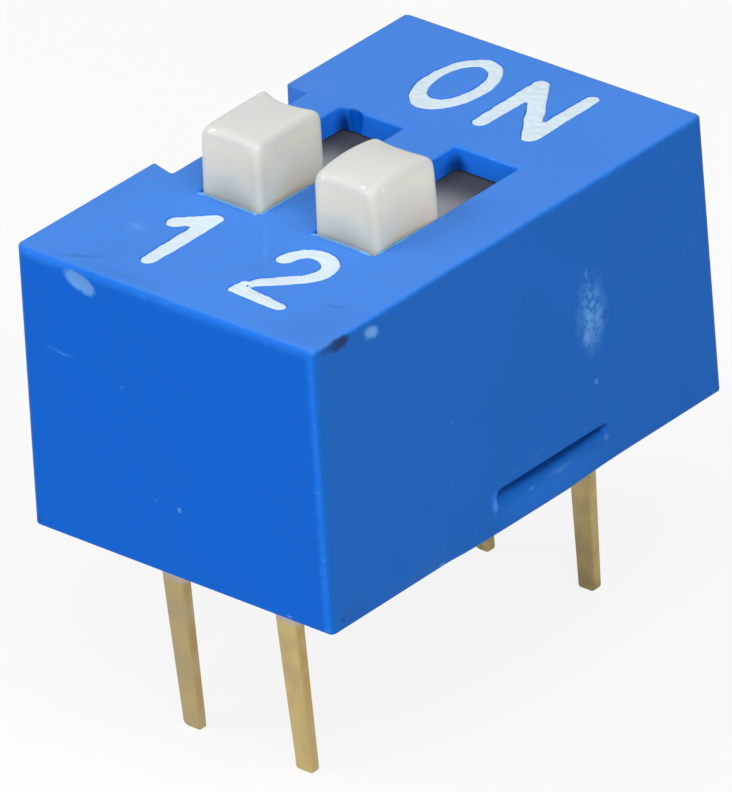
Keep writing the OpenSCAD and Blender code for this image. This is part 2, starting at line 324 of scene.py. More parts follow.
def slice_at(piece, axis, place):
    """Cuts new edges all the way round a piece, square to an axis."""
    pick_points(piece, lambda point: True)
    square = [float(axis == k) for k in range(3)]
    bpy.ops.mesh.bisect(plane_co=[place * share for share in square], plane_no=square)
    leave_edit()


def put(piece, location=(0, 0, 0), turn=(0, 0, 0), scale=(1, 1, 1)):
    """Scales, turns and moves a piece, and applies all three."""
    piece.location, piece.rotation_euler, piece.scale = location, turn, scale
    only(piece)
    bpy.ops.object.transform_apply(location=True, rotation=True, scale=True)


def modify(piece, kind, **settings):
    """Adds a modifier and applies it."""
    only(piece)
    bpy.ops.object.modifier_add(type=kind)
    step = piece.modifiers[-1]
    for key, value in settings.items():
        setattr(step, key, value)
    bpy.ops.object.modifier_apply(modifier=step.name)


def combine(piece, tool, operation="DIFFERENCE"):
    """Cuts a tool out of the piece, or joins it on, and removes the tool."""
    modify(piece, "BOOLEAN", object=tool, operation=operation, solver="EXACT")
    if not piece.data.polygons:
        raise RuntimeError(f"nothing is left of {piece.name} after {tool.name}")
    bpy.data.objects.remove(tool)


def roughen(piece, axis, lump, strength, basis="BLENDER_ORIGINAL"):
    """Pushes a piece's points to and fro along an axis by lumps of noise."""
    noise = bpy.data.textures.new("lumps", "CLOUDS")
    noise.noise_scale, noise.noise_basis = lump, basis
    modify(piece, "DISPLACE", texture=noise, direction=axis, strength=strength, mid_level=0.5)
    bpy.data.textures.remove(noise)


def settle(piece, material, smooth_degrees):
    """Cleans a finished mesh, turns its faces outwards, brings it into metres and shades it."""
    weld = 0.0004
    pick_points(piece, lambda place: True)
    bpy.ops.mesh.remove_doubles(threshold=weld)
    bpy.ops.mesh.dissolve_degenerate(threshold=weld)
    bpy.ops.mesh.normals_make_consistent(inside=False)
    leave_edit()
    put(piece, scale=(MM, MM, MM))
    bpy.ops.object.shade_smooth_by_angle(angle=math.radians(smooth_degrees))
    modify(piece, "WEIGHTED_NORMAL", mode="FACE_AREA", weight=50, keep_sharp=True)
    piece.data.materials.clear()
    piece.data.materials.append(material)


def declare(piece, body, slot, *nodes):
    """Tells the frame what a piece rides on, and hides the nodes that it stands for. The slot is not used.
    """
    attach(piece, body)
    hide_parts(*nodes)


def slider_travel(position):
    """How far a slider's joint lets it slide, in millimetres."""
    for joint in frame["joints"]:
        if joint["name"] == f"slide_{position}":
            return (joint["range_m"][1] - joint["range_m"][0]) / MM
    raise RuntimeError(f"the frame has no joint for position {position}")


# ------------------------------------------------------------------ shader helpers


class Value:
    """A shader socket that holds a number, and that sums can be written with."""

    def __init__(self, shader, socket):
        self.shader = shader
        self.socket = socket

    def work(self, operation, *numbers):
        """The outcome of a sum."""
        return self.shader.node("ShaderNodeMath", {"operation": operation}, dict(enumerate(numbers)))

    def __add__(self, other):
        return self.work("ADD", self, other)

    __radd__ = __add__

    def __sub__(self, other):
        return self.work("SUBTRACT", self, other)

    def __rsub__(self, other):
        return self.work("SUBTRACT", other, self)

    def __mul__(self, other):
        return self.work("MULTIPLY", self, other)

    __rmul__ = __mul__

    def __abs__(self):
        return self.work("ABSOLUTE", self)

    def most(self, other):
        """The larger of two numbers."""
        return self.work("MAXIMUM", self, other)

    def fade(self, none, full):
        """0 at the first number and 1 at the second, with a smooth run between them."""
        return self.shader.node(
            "ShaderNodeMapRange",
            {"interpolation_type": "SMOOTHSTEP"},
            {"Value": self, "From Min": none, "From Max": full},
        )


class Nodes:
    """A tree of shader nodes."""

    def __init__(self, owner):
        owner.use_nodes = True
        self.tree = owner.node_tree
        self.tree.nodes.clear()

    def node(self, kind, settings=None, sockets=None, out=0):
        """Adds a node: its settings first, then the values or links of its sockets."""
        node = self.tree.nodes.new(kind)
        for key, value in (settings or {}).items():
            setattr(node, key, value)
        for key, value in (sockets or {}).items():
            self.plug(node.inputs[key], value)
        return None if out is None else Value(self, node.outputs[out])

    def plug(self, socket, value):
        """Links a socket, or sets it."""
        if isinstance(value, Value):
            self.tree.links.new(value.socket, socket)
        else:
            socket.default_value = value

    def seen(self):
        """1 for what the camera sees, straight or in a reflection, and 0 for what lights a surface."""
        rays = [
            self.node("ShaderNodeLightPath", out=ray)
            for ray in ("Is Camera Ray", "Is Glossy Ray", "Is Transmission Ray")
        ]
        return rays[0].most(rays[1]).most(rays[2])


class Shader(Nodes):
    """A material with one Principled BSDF, and the few kinds of node that the finishes use."""

    def __init__(self, name, **constants):
        self.colours = colours()
        self.material = bpy.data.materials.new(name)
        super().__init__(self.material)
        settings = {key.replace("_", " "): value for key, value in constants.items()}
        self.surface = self.node("ShaderNodeBsdfPrincipled", sockets=settings)
        coordinates = self.node("ShaderNodeTexCoord", out="Object")
        self.place = self.vector("SCALE", {0: coordinates, "Scale": 1 / MM})
        self.x, self.y, self.z = [
            self.node("ShaderNodeSeparateXYZ", sockets={0: self.place}, out=axis) for axis in "XYZ"
        ]

    def feed(self, name, value):
        """Links a value or a colour to one of the surface's sockets."""
        self.plug(self.surface.socket.node.inputs[name], value)

    def done(self, surface=None):
        """Ends the tree at a surface, and gives the material."""
        self.node("ShaderNodeOutputMaterial", sockets={"Surface": surface or self.surface}, out=None)
        return self.material

    def dressed(self, face, roughness, height):
        """Sets the colour, the roughness and the relief in millimetres, and ends the tree."""
        self.feed("Base Color", face)
        self.feed("Roughness", roughness)
        relief = {"Strength": 1.0, "Distance": MM, "Height": height}
        self.feed("Normal", self.node("ShaderNodeBump", sockets=relief))
        return self.done()

    def vector(self, operation, sockets, out=0):
        """The outcome of a sum with vectors."""
        return self.node("ShaderNodeVectorMath", {"operation": operation}, sockets, out)

    def noise(self, per_mm, detail=2, roughness=0.5, at=None, out=0):
        """Noise from about 0.25 to 0.75, with so many blobs in a millimetre."""
        return self.node(
            "ShaderNodeTexNoise",
            sockets={"Vector": at or self.place, "Scale": per_mm, "Detail": detail, "Roughness": roughness},
            out=out,
        )

    def stretched(self, x, y, z):
        """The place, scaled along each axis."""
        return self.vector("MULTIPLY", {0: self.place, 1: (x, y, z)})

    def ragged(self, per_mm, reach):
        """The place, pushed about by noise, so that a mark in it has an uneven outline."""
        push = self.noise(per_mm, 3, 0.6, out="Color")
        centred = self.vector("SUBTRACT", {0: push, 1: (0.5, 0.5, 0.5)})
        scaled = self.vector("SCALE", {0: centred, "Scale": 2 * reach})
        return self.vector("ADD", {0: self.place, 1: scaled})

    def blot(self, at, centre, reach, soft, turn=(0, 0, 0)):
        """1 in the middle of an ellipsoid, falling to 0 at its outside. The turn is in degrees."""
        local = self.node(
            "ShaderNodeMapping",
            {"vector_type": "TEXTURE"},
            {"Vector": at, "Location": centre, "Rotation": [math.radians(a) for a in turn], "Scale": reach},
        )
        distance = self.vector("LENGTH", {0: local}, out="Value")
        return distance.fade(1, 1 - soft)

    def blots(self, at, marks):
        """The strongest of several blots at each place."""
        total = None
        for strength, *mark in marks:
            one = strength * self.blot(at, *mark)
            total = one if total is None else total.most(one)
        return total

    def mix(self, factor, first, second):
        """A colour between two others, each of them a colour, a link or a name in the colours group."""
        first, second = [self.colours[c] if isinstance(c, str) else c for c in (first, second)]
        return self.node(
            "ShaderNodeMix",
            {"data_type": "RGBA", "clamp_factor": True},
            {"Factor": factor, 6: first, 7: second},
            out=2,
        )


# ------------------------------------------------------------------ legends

# Pen strokes of each character in millimetres: start, end, width at the start, width at the end
N_STROKES = [
    ((0.345, 2.71), (0.340, 4.28), 0.31, 0.33),
    ((0.345, 4.27), (1.405, 2.75), 0.33, 0.32),
    ((1.410, 2.75), (1.405, 4.36), 0.32, 0.26),
]
ONE_STROKES = [
    ((-1.105, -4.10), (-1.110, -2.46), 0.31, 0.33),
    ((-1.59, -2.88), (-1.14, -2.46), 0.34, 0.30),
]
TWO_STROKES = [
    ((1.53, -3.14), (0.93, -3.70), 0.31, 0.27),
    ((0.83, -4.03), (1.79, -4.12), 0.30, 0.22),
    ((0.74, -3.80), (0.76, -4.06), 0.12, 0.24),
]
TWO_BOW = {"centre": (1.215, -2.83), "radius": 0.435, "from": 178, "to": -38, "width": 0.31}
O_OUTSIDE = {"centre": (-0.87, 3.49), "half": (0.635, 0.99)}
O_HOLE = {"centre": (-0.885, 3.545), "half": (0.375, 0.66)}


def pen_stroke(begin, end, width, end_width, low, high):
    """An upright slab in the shape of a stroke with round ends."""
    begin, end = Vector(begin), Vector(end)
    run = end - begin
    slab = start(
        bpy.ops.mesh.primitive_cylinder_add, "stroke", vertices=24, radius=width / 2,
        depth=high - low, location=(*begin, (low + high) / 2),
    )
    pick_points(slab, lambda place: (place.xy - begin).dot(run) > -TOUCH)
    bpy.ops.transform.translate(value=(*run, 0))
    scale = end_width / width
    bpy.ops.transform.resize(value=(scale, scale, 1), center_override=(*end, 0))
    leave_edit()
    return slab


def pen_bow(bow, grow, low, high):
    """Short strokes along an arc, which flow together into a curved stroke."""
    centre = Vector(bow["centre"])
    steps = 14
    places = []
    for step in range(steps + 1):
        turn = math.radians(bow["from"] + (bow["to"] - bow["from"]) * step / steps)
        places.append(centre + bow["radius"] * Vector((math.cos(turn), math.sin(turn))))
    width = bow["width"] + grow
    return [pen_stroke(a, b, width, width, low, high) for a, b in zip(places, places[1:])]


def oval(shape, grow, low, high):
    """An upright slab with an oval outline."""
    return start(
        bpy.ops.mesh.primitive_cylinder_add, "oval", vertices=56, radius=1, depth=high - low,
        location=(*shape["centre"], (low + high) / 2),
        scale=(*[half + grow / 2 for half in shape["half"]], 1),
    )


def character_slabs(name, grow, low, high):
    """The slabs of one legend, each a little wider or narrower than drawn."""
    strokes = {"legend_on": N_STROKES, "legend_1": ONE_STROKES, "legend_2": TWO_STROKES}[name]
    slabs = [
        pen_stroke(begin, end, width + grow, end_width + grow, low, high)
        for begin, end, width, end_width in strokes
    ]
    if name == "legend_2":
        slabs += pen_bow(TWO_BOW, grow, low, high)
    if name == "legend_on":
        ring = oval(O_OUTSIDE, grow, low, high)
        combine(ring, oval(O_HOLE, -grow, low - CLEAR, high + CLEAR))
        slabs.append(ring)
    return slabs


def characters(name, slabs):
    """One legend from its slabs, melted together, with the uneven outlines of hand engraving."""
    only(slabs[0])
    for slab in slabs:
        slab.select_set(True)
    bpy.ops.object.join()
    whole = bpy.context.object
    whole.name = whole.data.name = name
    modify(whole, "REMESH", mode="VOXEL", voxel_size=GRAIN)
    modify(whole, "SMOOTH", factor=0.5, iterations=2)
    lump, wobble = 0.35, 0.05
    roughen(whole, "X", lump, wobble)
    roughen(whole, "Y", lump, wobble, "IMPROVED_PERLIN")
    return whole


# ------------------------------------------------------------------ cover


def channel_block(position, base_top, size, height):
    """The space that a slider runs in, over its whole travel."""
    low, high = corners(f"slider_{position}")
    gap, end_gap = 0.03, 0.08
    return block(
        "channel",
        (low.x - gap, low.y - end_gap, base_top - CLEAR),
        (high.x + gap, high.y + slider_travel(position) + end_gap, height - size["top_wall"]),
    )


def slot_block(position, base_top, size, height):
    """The opening over a slider, with slightly round corners."""
    middle = (position - 1.5) * size["pitch"]
    half = size["slot_length"] / 2
    slot = block(
        "slot",
        (middle - size["slot_width"] / 2, -size["slot_shift"] - half, base_top),
        (middle + size["slot_width"] / 2, -size["slot_shift"] + half, height + CLEAR),
    )
    round_edges(slot, INNER_ROUND, 3, lambda a, b: along(a, b, 2))
    return slot


def notch_block(low, size, height):
    """The index notch in the top edge beside position 1."""
    half = size["notch_length"] / 2
    notch = block(
        "notch",
        (low.x - CLEAR, size["notch_shift"] - half, height - size["notch_depth"]),
        (low.x + size["notch_inward"], size["notch_shift"] + half, height + CLEAR),
    )
    slant = size["notch_slant"] * (1 + CLEAR / size["notch_inward"])
    shove(notch, (0, slant, 0), lambda place: place.x < low.x and place.y < 0)
    round_edges(notch, INNER_ROUND, 3, lambda a, b: along(a, b, 2) and a.x > low.x)
    return notch


def groove_block(side, face_x, size):
    """A pressed groove: steep above, sloping below, round at one end and pointed at the other."""
    near, far, bottom, top = -0.83, 2.08, 0.46, 0.79
    point, point_drop, floor_scale, floor_rise = 0.64, 0.02, (1, 0.94, 0.45), 0.07
    groove = block("groove", (face_x - size["groove_depth"], near, bottom), (face_x, far, top))
    centre = (face_x, far, top - point_drop)
    pick_points(groove, lambda place: place.y > far - TOUCH)
    bpy.ops.transform.resize(value=(1, 1, point), center_override=centre)
    leave_edit()
    for end, radius in ((near, 0.14), (far, 0.09)):
        round_edges(groove, radius, 4, lambda a, b: (
            max(abs(a.y - end), abs(b.y - end)) < TOUCH and along(a, b, 0)))
    pick_faces(groove, lambda place, normal: normal.x < -0.9)
    bpy.ops.transform.resize(value=floor_scale)
    bpy.ops.transform.translate(value=(0, 0, floor_rise))
    leave_edit()
    pick_faces(groove, lambda place, normal: normal.x > 0.9)
    bpy.ops.mesh.extrude_region_move(TRANSFORM_OT_translate={"value": (CLEAR, 0, 0)})
    leave_edit()
    if side < 0:
        put(groove, scale=(-1, 1, 1))
        pick_points(groove, lambda place: True)
        bpy.ops.mesh.normals_make_consistent(inside=False)
        leave_edit()
    return groove


def nick_block(seed, centre, reach, rough, turn=(0, 0, 0)):
    """A lump that leaves a nick where it is cut out."""
    lump = start(bpy.ops.mesh.primitive_ico_sphere_add, "nick", subdivisions=4, radius=1)
    pick_points(lump, lambda place: True)
    bpy.ops.transform.vertex_random(offset=rough, uniform=0.2, normal=0.8, seed=seed)
    bpy.ops.transform.resize(value=reach)
    leave_edit()
    put(lump, centre, [math.radians(degrees) for degrees in turn])
    return lump


# Nicks in the cover: middle, reach along each axis, roughness, and turn in degrees
NICKS = [
    ((-1.85, -5.22, 5.06), (0.78, 0.235, 0.34), 0.02, (0, 17, 0)),
    ((3.47, -4.47, 5.26), (0.18, 0.46, 0.14), 0.04),
    ((3.36, -3.66, 5.34), (0.05, 0.13, 0.06), 0.16),
    ((3.37, 3.40, 5.34), (0.05, 0.16, 0.05), 0.16),
    ((3.37, 2.43, 5.35), (0.045, 0.10, 0.05), 0.16),
    ((3.37, 1.67, 5.35), (0.05, 0.16, 0.05), 0.16),
    ((3.36, -0.33, 5.35), (0.045, 0.09, 0.05), 0.16),
    ((-1.66, 1.635, 5.30), (0.27, 0.195, 0.75), 0.01),
    ((-3.35, -5.10, 0.19), (0.09, 0.09, 0.10), 0.16),
    ((3.39, -2.26, 0.05), (0.07, 0.12, 0.06), 0.16),
    ((3.38, -4.81, 0.20), (0.045, 0.06, 0.10), 0.16, (20, 0, 0)),
]

# Lips at the foot of the knobs, a burr from the moulding that also fills the shaded gap there: two ends,
# and its height at each of them
LIPS = [
    ((-1.94, -1.945), (-0.60, -1.965), 0.050, 0.030),
    ((0.61, -1.945), (1.92, -1.960), 0.050, 0.030),
    ((-0.545, -1.90), (-0.54, -0.62), 0.030, 0.012),
    ((1.995, -1.88), (2.00, -0.62), 0.030, 0.012),
]


def lip_block(seed, height, begin, end, begin_rise, end_rise):
    """A thin uneven ridge along a rim of the cover's top, drawn out to nothing at both ends."""
    begin, end = Vector(begin), Vector(end)
    half, sunk, steps, rough, round_top = 0.026, 0.06, 11, 0.014, 0.012
    long = (end - begin).length
    ridge = block("lip", (0, -half, -sunk), (long, half, begin_rise))
    shove(ridge, (0, 0, end_rise - begin_rise), lambda place: place.z > 0 and place.x > half)
    for step in range(1, steps):
        slice_at(ridge, 0, long * step / steps)
    pick_points(ridge, lambda place: place.z > 0)
    bpy.ops.transform.vertex_random(offset=rough, uniform=0.3, normal=0.0, seed=seed)
    leave_edit()
    pick_points(ridge, lambda place: place.z > 0 and min(place.x, long - place.x) < half)
    bpy.ops.transform.resize(value=(1, 1, 0.3), center_override=(0, 0, 0))
    leave_edit()
    round_edges(ridge, round_top, 2, lambda a, b: min(a.z, b.z) > 0 and abs((b - a).x) > half)
    put(ridge, (*begin, height), (0, 0, math.atan2(end.y - begin.y, end.x - begin.x)))
    return ridge


def weigh_edges(shell, share, test):
    """Gives the sharp edges that pass the test their share of the widest bevel."""
    pick_edges(shell, test, 20)
    bpy.ops.transform.edge_bevelweight(value=share)
    leave_edit()


# How far the rim under the groove of position 2 has swollen outwards: place along the side, and push
SWELLING = [
    (-2.07, 0), (-1.71, 0.028), (-1.27, 0.045), (-0.41, 0.055), (0.43, 0.062), (0.91, 0.062),
    (1.39, 0.035), (1.88, 0.012), (2.41, 0),
]


def swell_rim(shell, side_x):
    """Pushes the foot of one long side outwards, a little at each of several cuts across it."""
    wall, foot = 0.15, 0.40
    for cut, push in SWELLING:
        slice_at(shell, 1, cut)
    for cut, push in SWELLING:
        shove(shell, (push, 0, 0), lambda place: (
            abs(place.y - cut) < TOUCH and place.x > side_x - wall and place.z < foot))


def model_cover(size):
    """The cover: a drafted box, cut open, its edges rounded, then engraved and nicked."""
    low, high = corners("cover")
    height = high.z
    width, depth = high.x - low.x, high.y - low.y
    base_low, base_high = corners("base")
    shell = block("cover_shell", low, high)
    pick_faces(shell, lambda place, normal: normal.z > 0.9)
    top_scale = (1 - 2 * size["side_draft"] / width, 1 - 2 * size["end_draft"] / depth, 1)
    bpy.ops.transform.resize(value=top_scale)
    leave_edit()
    shove(shell, (size["corner_lean"], 0, 0), lambda place: (
        place.z > height / 2 and place.x < 0 < place.y))
    combine(shell, block("pocket", (base_low.x, base_low.y, -CLEAR), base_high))
    for position in (1, 2):
        combine(shell, channel_block(position, base_high.z, size, height))
        combine(shell, slot_block(position, base_high.z, size, height))
    combine(shell, notch_block(low, size, height))

    slack, notch_share, right_share = 0.06, 0.6, 0.75
    top_x = high.x - size["side_draft"] - slack
    top_y = high.y - size["end_draft"] - slack
    notch_front = size["notch_shift"] - size["notch_length"] / 2 + size["notch_slant"]
    notch_ends = [notch_front, size["notch_shift"] + size["notch_length"] / 2]
    widest = size["upright_round"]

    def on_top(a, b):
        return min(a.z, b.z) > height - slack

    def outside(a, b):
        return min(abs(a.x), abs(b.x)) > top_x or min(abs(a.y), abs(b.y)) > top_y

    weigh_edges(shell, 1, lambda a, b: along(a, b, 2) and abs(a.x) > top_x and abs(a.y) > top_y)
    weigh_edges(shell, right_share, lambda a, b: along(a, b, 2) and a.x > top_x and a.y > top_y)
    weigh_edges(shell, size["edge_round"] / widest, lambda a, b: on_top(a, b) and outside(a, b))
    weigh_edges(shell, size["rim_round"] / widest, lambda a, b: on_top(a, b) and not outside(a, b))
    weigh_edges(shell, size["foot_round"] / widest, lambda a, b: max(a.z, b.z) < slack and (
        min(abs(a.x), abs(b.x)) > high.x - slack or min(abs(a.y), abs(b.y)) > high.y - slack))
    weigh_edges(shell, notch_share, lambda a, b: (
        along(a, b, 2) and a.x < -top_x and min(abs(a.y - end) for end in notch_ends) < 2 * slack))
    modify(shell, "BEVEL", limit_method="WEIGHT", width=widest, segments=4, use_clamp_overlap=True)

    for side in (-1, 1):
        combine(shell, groove_block(side, high.x, size))
    swell_rim(shell, high.x)
    for seed, nick in enumerate(NICKS):
        combine(shell, nick_block(seed, *nick))
    for seed, lip in enumerate(LIPS):
        combine(shell, lip_block(seed, height, *lip), "UNION")
    rim_wider, rim_deep = 0.05, 0.012
    for name in ("legend_on", "legend_1", "legend_2"):
        slabs = character_slabs(name, 0, height - size["legend_depth"], height + CLEAR)
        slabs += character_slabs(name, rim_wider, height - rim_deep, height + CLEAR)
        combine(shell, characters(name, slabs))
    return shell


class DIP_OT_cover(bpy.types.Operator):
    """Model the moulded cover with its slots, notch, grooves, sunk legends and nicks"""

    bl_idname = "dip.cover"
    bl_label = "Cover"

    def execute(self, context):
        shell = model_cover(sizes())
        settle(shell, cover_finish(), 30)
        declare(shell, "housing", "cover", "cover")
        return {"FINISHED"}


class DIP_OT_legends(bpy.types.Operator):
    """Fill the sunk legends with white ink"""

    bl_idname = "dip.legends"
    bl_label = "Legends"

    def execute(self, context):
        size = sizes()
        height = corners("cover")[1].z
        material = ink_finish()
        wider, sunk, lump, unevenness = 0.015, 0.05, 0.12, 0.03
        bottom, surface = height - size["legend_depth"] - sunk, height - size["ink_drop"]
        for name in ("legend_on", "legend_1", "legend_2"):
            ink = characters(name, character_slabs(name, wider, bottom, surface))
            roughen(ink, "Z", lump, unevenness)
            ink.name = ink.data.name = "ink_" + name.removeprefix("legend_")
            settle(ink, material, 60)
            declare(ink, "housing", "ink", name)
        return {"FINISHED"}


# ------------------------------------------------------------------ sliders

# How each knob differs from the plain one: height lost over the whole top, rise of the top's middle, lift
# and outward pull of the rear left corner, how far each side leans in by the top, how far it is hollowed at
# its foot and at its top, and how far the foot of its front right corner has moved. The sides: left, right,
# front, rear. Then come its painted glints, pale specks that stand for highlights, and its dark speck, as
# marks like those on the cover.
KNOBS = {
    1: {
        "lower": 0.03, "dome": 0.04, "peak": 0.08, "flare": 0.02, "lean": (0.07, -0.02, 0.02, -0.03),
        "foot_hollow": (0.09, 0.13, 0.14, 0.12), "top_hollow": (-0.03, 0.03, 0.04, 0.18),
        "foot_corner": (0.0, 0.0),
        "glinting": [
            (0.8, (-1.64, -1.77, 6.55), (0.11, 0.035, 0.10), 0.8, (0, 0, 28)),
            (0.35, (-1.42, -1.66, 6.57), (0.18, 0.035, 0.10), 0.9, (0, 0, 28)),
            (0.7, (-0.64, -1.75, 6.54), (0.03, 0.03, 0.10), 0.8),
            (0.7, (-0.52, -1.70, 6.50), (0.03, 0.03, 0.10), 0.8),
        ],
        "speck": [(0.15, (-1.78, -0.56, 6.60), (0.07, 0.05, 0.06), 0.8)],
    },
    2: {
        "lower": 0.155, "dome": 0.15, "peak": 0.02, "flare": 0.01, "lean": (0.03, 0.00, 0.02, 0.03),
        "foot_hollow": (0.09, 0.09, 0.12, 0.10), "top_hollow": (-0.05, 0.02, 0.04, 0.10),
        "foot_corner": (0.02, 0.11),
        "glinting": [
            (0.8, (0.83, -1.82, 6.45), (0.04, 0.03, 0.10), 0.8),
            (0.5, (1.08, -1.82, 6.46), (0.03, 0.03, 0.10), 0.8),
            (0.5, (1.25, -1.64, 6.46), (0.03, 0.03, 0.10), 0.8),
            (0.7, (1.66, -1.74, 6.44), (0.06, 0.05, 0.10), 0.8, (0, 0, 28)),
            (0.7, (1.80, -1.66, 6.42), (0.04, 0.04, 0.10), 0.8),
            (0.6, (1.90, -1.55, 6.38), (0.05, 0.05, 0.10), 0.8),
        ],
        "speck": [(0.5, (0.74, -0.56, 6.47), (0.09, 0.05, 0.06), 0.8)],
    },
}


def knob_shape(middle, low_z, high_z, size, habit):
    """A knob: a block whose edges a subdivision rounds, hollowed on its four sides by a lattice."""
    half = Vector((size["knob_width"] / 2, size["knob_length"] / 2, 0))
    centre = middle.xy.to_3d()
    knob = block("knob", centre - half + Vector((0, 0, low_z)), centre + half + Vector((0, 0, high_z)))
    upright = size["knob_corner"]
    cuts = [(0, centre.x + side * (half.x - upright)) for side in (-1, 1)]
    cuts += [(1, centre.y + side * (half.y - upright)) for side in (-1, 1)]
    cuts += [(0, centre.x), (1, centre.y - half.y / 3), (1, centre.y + half.y / 3)]
    wall = high_z - size["knob_crown"] - low_z
    cuts += [(2, low_z + wall * step / 4) for step in range(1, 5)]
    for axis, place in cuts:
        slice_at(knob, axis, place)
    modify(knob, "SUBSURF", levels=3, render_levels=3)
    bend_knob(knob, middle, low_z, high_z, size, habit)
    return knob


def bend_knob(knob, middle, low_z, high_z, size, habit):
    """Hollows the sides of a knob, domes its top and lifts its rear left corner."""
    only(None)
    bpy.ops.object.add(type="LATTICE", location=(middle.x, middle.y, (low_z + high_z) / 2))
    cage = bpy.context.object
    cage.scale = (size["knob_width"], size["knob_length"], high_z - low_z)
    cage.data.points_u, cage.data.points_v, cage.data.points_w = 9, 9, 5
    foot_spread = 0.03

    def inward(side, up, across):
        """How far a side has moved in at a height, and at a place across it from -1 to 1."""
        foot, top = habit["foot_hollow"][side], habit["top_hollow"][side]
        return habit["lean"][side] * up + (foot + (top - foot) * up) * (1 - across * across)

    for point in cage.data.points:
        s, t, up = 2 * point.co.x, 2 * point.co.y, point.co.z + 0.5
        shift = Vector((
            -s * inward(0 if s < 0 else 1, up, t),
            -t * inward(2 if t < 0 else 3, up, s),
            up * (habit["dome"] * (1 - t * t) * (1 - s * s / 2) - habit["lower"]),
        ))
        corner = max(-s, 0) ** 3 * max(t, 0) ** 3 * up ** 3
        shift += corner * Vector((-habit["flare"], habit["flare"], habit["peak"]))
        shift += max(s, 0) ** 2 * max(-t, 0) ** 2 * (1 - up) * Vector((*habit["foot_corner"], 0))
        shift += s * s * t * t * (1 - up) * foot_spread * Vector((s, t, 0))
        point.co_deform = point.co + Vector([move / scale for move, scale in zip(shift, cage.scale)])
    modify(knob, "LATTICE", object=cage)
    bpy.data.objects.remove(cage)


def model_slider(position, size):
    """A slider: knob, flange under the top, and carrier with a pocket and peg for the contact."""
    low, high = corners(f"slider_{position}")
    contact_low, contact_high = corners(f"contact_{position}")
    middle = (low + high) / 2
    gap, edge, root = 0.03, 0.04, 0.08
    flange_top = corners("cover")[1].z - size["top_wall"] - gap
    body = block("flange", (low.x, low.y, flange_top - size["flange"]), (high.x, high.y, flange_top))
    round_edges(body, edge, 2, lambda a, b: True)
    carrier_half, pocket_half, pocket_gap = 3.50 / 2, 2.84 / 2, 0.10
    carrier = block(
        "carrier", (low.x, middle.y - carrier_half, low.z),
        (high.x, middle.y + carrier_half, flange_top - size["flange"] / 2),
    )
    combine(body, carrier, "UNION")
    pocket_x = (contact_high.x - contact_low.x) / 2 + pocket_gap
    combine(body, block(
        "pocket", (middle.x - pocket_x, middle.y - pocket_half, low.z - CLEAR),
        (middle.x + pocket_x, middle.y + pocket_half, contact_high.z),
    ))
    peg_radius, peg_length, peg_drop = 0.18, 0.25, 0.20
    peg = start(
        bpy.ops.mesh.primitive_cylinder_add, "peg", vertices=32, radius=peg_radius, depth=peg_length,
        location=(middle.x, middle.y, contact_high.z - peg_drop + peg_length / 2),
    )
    combine(body, peg, "UNION")
    combine(body, knob_shape(middle, flange_top - root, high.z, size, KNOBS[position]), "UNION")
    body.name = body.data.name = f"slider_{position}_moulding"
    return body


class DIP_OT_sliders(bpy.types.Operator):
    """Model the two sliders with their hollow-sided knobs"""

    bl_idname = "dip.sliders"
    bl_label = "Sliders"

    def execute(self, context):
        size = sizes()
        for position in (1, 2):
            body = model_slider(position, size)
            settle(body, slider_finish(position), 40)
            declare(body, f"position_{position}", "slider", f"slider_{position}")
        return {"FINISHED"}


# ------------------------------------------------------------------ terminals

# Each terminal: position, row side, lean of its tip along X and Y, radii of its two tip corners
TERMINALS = {
    "terminal_1_number": (1, -1, (0.00, 0.22), (0.12, 0.03)),
    "terminal_2_number": (2, -1, (0.00, 0.22), (0.06, 0.06)),
    "terminal_1_on": (1, 1, (0.15, 0.00), (0.18, 0.08)),
    "terminal_2_on": (2, 1, (0.00, 0.00), (0.05, 0.12)),
}


def pin_place(position, side, size, z=0):
    """Where a pin stands: a little to the left of the middle of its slot."""
    shift = 0.11
    return (position - 1.5) * size["pitch"] - shift, side * size["row_span"] / 2, z


